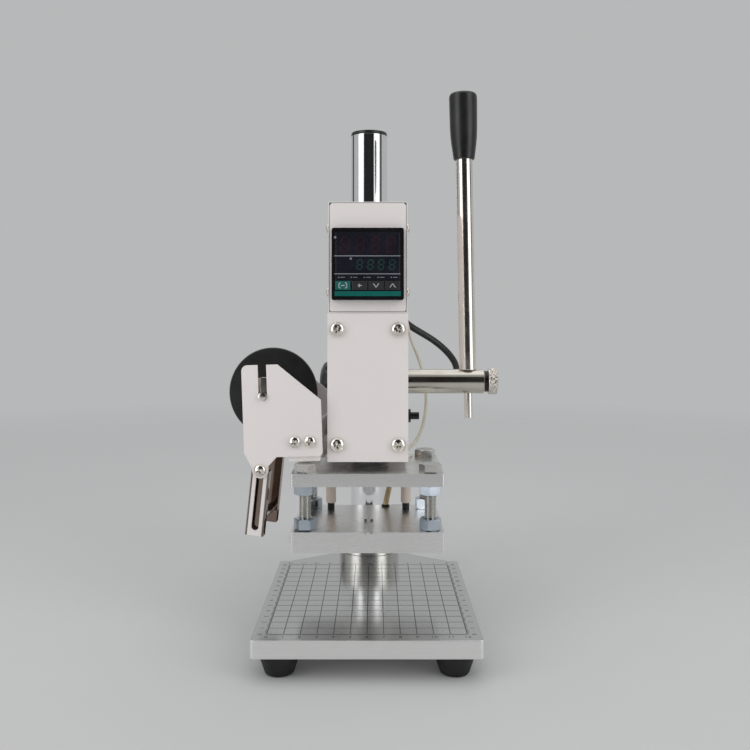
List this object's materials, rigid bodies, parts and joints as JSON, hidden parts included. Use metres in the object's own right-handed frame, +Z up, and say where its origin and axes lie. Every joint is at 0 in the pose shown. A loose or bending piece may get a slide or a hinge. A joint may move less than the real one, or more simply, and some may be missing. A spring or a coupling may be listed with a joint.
{
  "type": "hot foil stamping machine",
  "caption": "Bench hot foil stamping press: column, height-adjustable head with temperature controller, rack lever, heated plate, foil reel holder and ruled base.",
  "frame": {"origin": "on the bench plane under the feet, below the axis of the column", "axes": "+X to the right as seen by the user, towards the lever; +Y to the back, so the front of the press faces -Y; +Z up along the column"},
  "size_m": [0.1908, 0.396, 0.3769],
  "materials": {
    "ruled_aluminium": "brushed, with fine engraved rules",
    "black_rubber": "matt",
    "zinc_steel": "bright zinc",
    "blue_zinc": "blue zinc",
    "hard_chrome": "polished",
    "turned_metal": "fine turned",
    "white_paint": "smooth warm grey-white powder paint",
    "bronze": "turned",
    "black_steel": "black oxide",
    "bright_nickel": "bright nickel",
    "black_plastic": "satin",
    "black_gloss": "gloss",
    "display": "dark tinted window",
    "teal_key": "satin",
    "grey_key": "satin",
    "glass_fibre": "woven sleeve",
    "gold_braid": "woven metal and fibre braid",
    "cream_lead": "silicone",
    "black_cord": "satin vinyl"
  },
  "bodies": {
    "frame": {"base_plate": "ruled_aluminium", "rubber_feet": "black_rubber", "base_screws": "zinc_steel", "column_socket": "turned_metal", "column": "hard_chrome", "column_cap": "black_plastic", "mains_cord": "black_cord", "cord_coil": "black_cord", "mains_plug": "black_cord"},
    "head": {"side_plate_left": "white_paint", "side_plate_right": "white_paint", "clamp_block": "white_paint", "head_screws": "zinc_steel", "front_cover": "white_paint", "front_cover_screws": "zinc_steel", "ram_guides": "bronze", "guide_set_screw": "black_steel", "shaft_bushes": "bronze", "spring_anchor": "zinc_steel", "controller_housing": "white_paint", "housing_back": "white_paint", "housing_screws": "zinc_steel", "controller_case": "black_plastic", "controller_bezel": "black_gloss", "display_window": "display", "holder_front_plate": "white_paint", "holder_rear_plate": "white_paint", "holder_mount": "white_paint", "holder_screws": "zinc_steel", "cord_gland": "black_cord", "heater_leads": "cream_lead"},
    "ram_unit": {"ram": "bright_nickel", "press_plate": "bright_nickel", "ram_screws": "black_steel", "levelling_bolts": "blue_zinc", "levelling_nuts": "blue_zinc", "heater_plate": "bright_nickel", "cartridge_heaters": "zinc_steel", "thermocouple": "gold_braid", "lead_sleeves": "glass_fibre", "spring_post": "zinc_steel", "return_spring": "zinc_steel"},
    "lever": {"pinion_shaft": "bright_nickel", "pinion": "bright_nickel", "shaft_retainer": "black_steel", "lever_hub": "bright_nickel", "lever_rod": "bright_nickel", "lever_grip": "black_plastic"},
    "cap": {"hub_cap": "bright_nickel"},
    "reel": {"reel_axle": "bright_nickel", "reel_disc": "black_plastic", "reel_collar": "bright_nickel"},
    "guide_swivel": {"guide_screws": "zinc_steel"},
    "guide_frame": {"guide_arms": "white_paint", "guide_bar": "bright_nickel"},
    "knob": {"clamp_knob": "black_plastic"},
    "key_set": {"set_key": "teal_key"},
    "key_shift": {"shift_key": "grey_key"},
    "key_down": {"down_key": "grey_key"},
    "key_up": {"up_key": "grey_key"}
  },
  "joints": [
    {"name": "head_lift", "type": "slide", "parent": "frame", "child": "head", "axis": [0, 0, 1], "range_m": [-0.014, 0.06], "deforming": ["mains_cord"]},
    {"name": "lever_turn", "type": "hinge", "parent": "head", "child": "lever", "pos_m": [0, -0.0825, 0.1685], "axis": [1, 0, 0], "range_deg": [0, 100], "stiffness_Nm_per_rad": 0.35, "springref_deg": -80.21},
    {"name": "press_stroke", "type": "slide", "parent": "head", "child": "ram_unit", "axis": [0, 0, 1], "range_m": [-0.021, 0], "deforming": ["return_spring", "heater_leads"]},
    {"name": "cap_turn", "type": "hinge", "parent": "lever", "child": "cap", "pos_m": [0.0835, -0.0825, 0.1685], "axis": [1, 0, 0], "range_deg": [0, 180]},
    {"name": "reel_spin", "type": "hinge", "parent": "head", "child": "reel", "pos_m": [-0.07, -0.13, 0.162], "axis": [0.1045, 0.9945, 0], "continuous": true},
    {"name": "guide_swing", "type": "hinge", "parent": "head", "child": "guide_swivel", "pos_m": [-0.07178, -0.12981, 0.11291], "axis": [0.1045, 0.9945, 0], "range_deg": [-16, 8]},
    {"name": "guide_slide", "type": "slide", "parent": "guide_swivel", "child": "guide_frame", "axis": [0.104, -0.0109, 0.9945], "range_m": [0, 0.03]},
    {"name": "clamp_turn", "type": "hinge", "parent": "head", "child": "knob", "pos_m": [-0.03, 0.026, 0.156], "axis": [1, 0, 0], "range_deg": [0, 180]},
    {"name": "set_key_press", "type": "slide", "parent": "head", "child": "key_set", "axis": [0, 1, 0], "range_m": [0, 0.0006], "stiffness_N_per_m": 900, "springref_m": -0.0003},
    {"name": "shift_key_press", "type": "slide", "parent": "head", "child": "key_shift", "axis": [0, 1, 0], "range_m": [0, 0.0006], "stiffness_N_per_m": 900, "springref_m": -0.0003},
    {"name": "down_key_press", "type": "slide", "parent": "head", "child": "key_down", "axis": [0, 1, 0], "range_m": [0, 0.0006], "stiffness_N_per_m": 900, "springref_m": -0.0003},
    {"name": "up_key_press", "type": "slide", "parent": "head", "child": "key_up", "axis": [0, 1, 0], "range_m": [0, 0.0006], "stiffness_N_per_m": 900, "springref_m": -0.0003}
  ],
  "couplings": [
    {"joint": "press_stroke", "follows": "lever_turn", "m_per_rad": -0.012}
  ]
}
